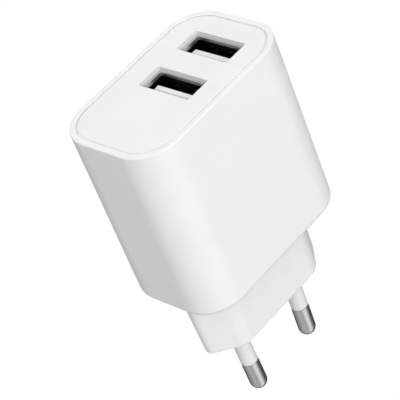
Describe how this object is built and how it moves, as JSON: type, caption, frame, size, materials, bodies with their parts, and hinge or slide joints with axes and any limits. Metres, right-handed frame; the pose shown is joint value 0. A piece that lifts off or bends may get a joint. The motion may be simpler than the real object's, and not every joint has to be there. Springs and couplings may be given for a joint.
{
  "type": "usb wall charger",
  "caption": "White wall charger for phones and tablets: a rounded box with USB sockets in its end and a round-pin mains plug on a hexagonal neck.",
  "frame": {"origin": "centre of the flat pin face of the plug neck, between the pins", "axes": "+Z away from the wall socket, out through the USB face; pins point to -Z; X along the long side of the body, with the blank end of the face plate at -X; Y through the thin way"},
  "size_m": [0.0434, 0.0274, 0.0799],
  "materials": {
    "housing_white": "satin white moulded polycarbonate",
    "face_plate_white": "fine satin white moulded polycarbonate",
    "sleeve_grey": "light grey insulating sleeve",
    "pin_nickel": "nickel-plated brass, polished",
    "contact_brass": "gold-flashed brass strip",
    "socket_shell_steel": "black-coated steel",
    "socket_insulator": "white moulded insulator",
    "circuit_board": "green solder mask on glass epoxy",
    "ferrite": "sintered dark grey ferrite",
    "winding_tape": "yellow polyester tape over copper wire",
    "bobbin_plastic": "black moulded phenolic",
    "disc_coating": "blue epoxy coating",
    "resistor_body": "grey-green cement coating",
    "capacitor_sleeve": "dark shrink sleeve on an aluminium can",
    "chip_plastic": "black moulded epoxy"
  },
  "bodies": {
    "root": {"bridge_rectifier": "chip_plastic", "bulk_capacitor_1": "capacitor_sleeve", "bulk_capacitor_2": "capacitor_sleeve", "face_plate": "face_plate_white", "filter_capacitor": "capacitor_sleeve", "fusible_resistor": "resistor_body", "housing_shell": "housing_white", "input_inductor": "ferrite", "link_header": "chip_plastic", "link_pin_1": "contact_brass", "link_pin_2": "contact_brass", "link_pin_3": "contact_brass", "link_pin_4": "contact_brass", "main_board": "circuit_board", "optocoupler": "chip_plastic", "output_board": "circuit_board", "output_capacitor_1": "capacitor_sleeve", "output_capacitor_2": "capacitor_sleeve", "output_rectifier": "chip_plastic", "pin_sleeve_left": "sleeve_grey", "pin_sleeve_right": "sleeve_grey", "pin_strip_left": "contact_brass", "pin_strip_right": "contact_brass", "plug_neck": "housing_white", "plug_pin_left": "pin_nickel", "plug_pin_right": "pin_nickel", "port_controller": "chip_plastic", "primary_controller": "chip_plastic", "safety_capacitor": "disc_coating", "supply_capacitor": "capacitor_sleeve", "transformer_bobbin": "bobbin_plastic", "transformer_core_lower": "ferrite", "transformer_core_upper": "ferrite", "transformer_winding": "winding_tape", "usb_contact_1_1": "contact_brass", "usb_contact_1_2": "contact_brass", "usb_contact_1_3": "contact_brass", "usb_contact_1_4": "contact_brass", "usb_contact_2_1": "contact_brass", "usb_contact_2_2": "contact_brass", "usb_contact_2_3": "contact_brass", "usb_contact_2_4": "contact_brass", "usb_insulator_1": "socket_insulator", "usb_insulator_2": "socket_insulator", "usb_shell_1": "socket_shell_steel", "usb_shell_2": "socket_shell_steel"}
  },
  "joints": []
}
